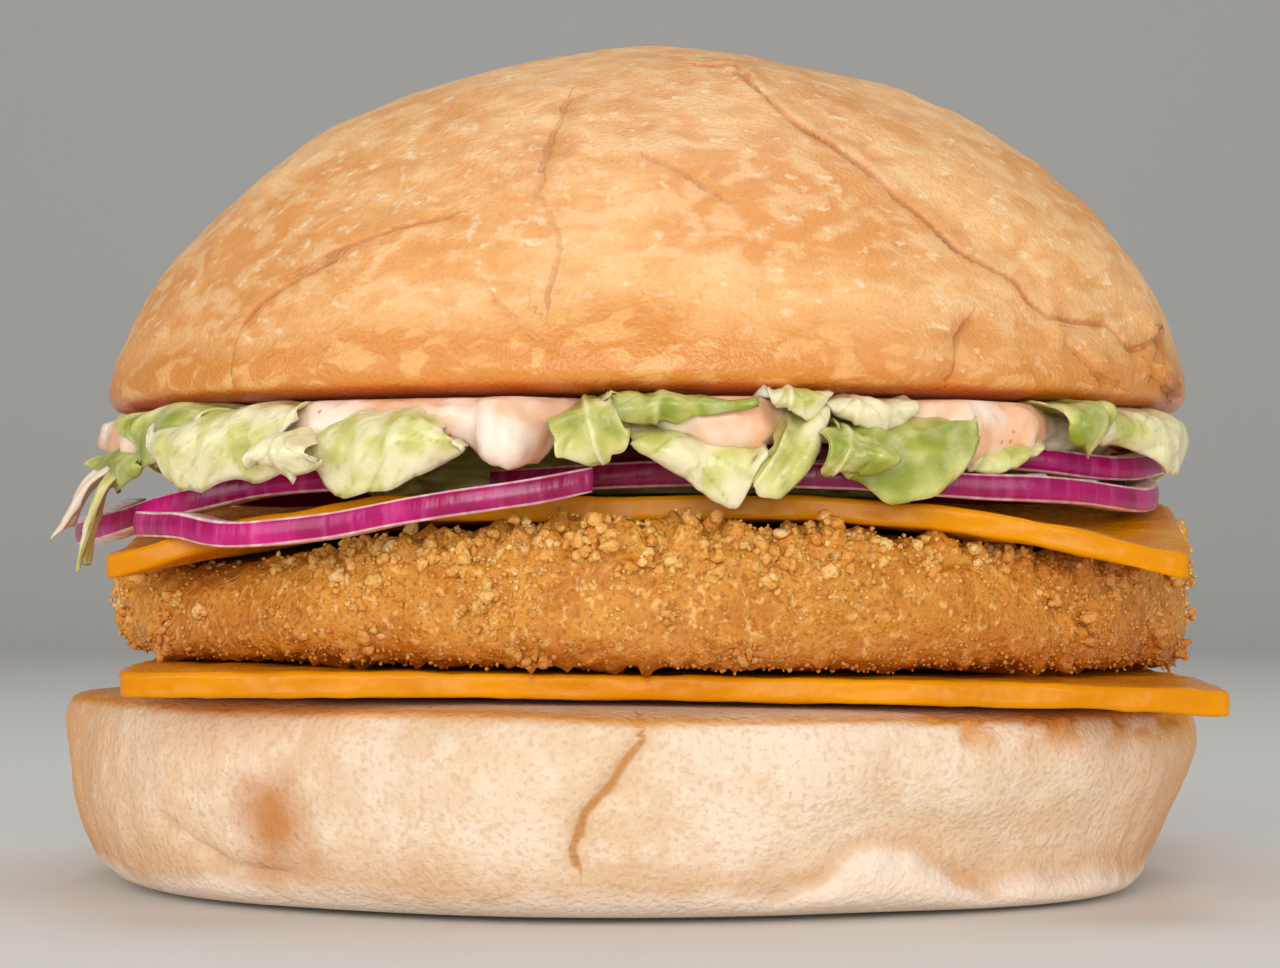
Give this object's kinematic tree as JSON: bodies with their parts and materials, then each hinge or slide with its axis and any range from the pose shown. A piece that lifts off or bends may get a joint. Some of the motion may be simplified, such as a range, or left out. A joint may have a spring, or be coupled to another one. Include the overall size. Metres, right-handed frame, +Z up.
{
  "type": "chicken burger",
  "caption": "Round burger in a soft bun: breaded chicken patty between cheese slices, with red onion, shredded lettuce and pink sauce under a domed crown.",
  "frame": {"origin": "under the middle of the whole burger, on the surface it stands on", "axes": "+Z up through the layers, front of the burger towards -Y, its right side towards +X"},
  "size_m": [0.1063, 0.106, 0.0766],
  "materials": {
    "bun": "soft matte crumb, pale with a lightly browned rim",
    "crust": "baked golden crust with a soft sheen",
    "cheese": "smooth melted surface with a satin gloss",
    "breading": "rough fried crumb, golden brown",
    "onion": "wet purple skin with pale pink cut faces",
    "lettuce": "crisp pale green leaf with a soft gloss",
    "sauce": "glossy thick cream sauce"
  },
  "bodies": {
    "root": {"bun_heel": "bun", "cheese_bottom": "cheese", "patty": "breading", "cheese_top": "cheese", "onion_front_left": "onion", "onion_front_right": "onion", "onion_back_left": "onion", "onion_back_right": "onion", "onion_upper_left": "onion", "onion_upper_right": "onion", "onion_upper_back": "onion", "lettuce": "lettuce", "sauce": "sauce", "bun_crown": "crust"}
  },
  "joints": []
}
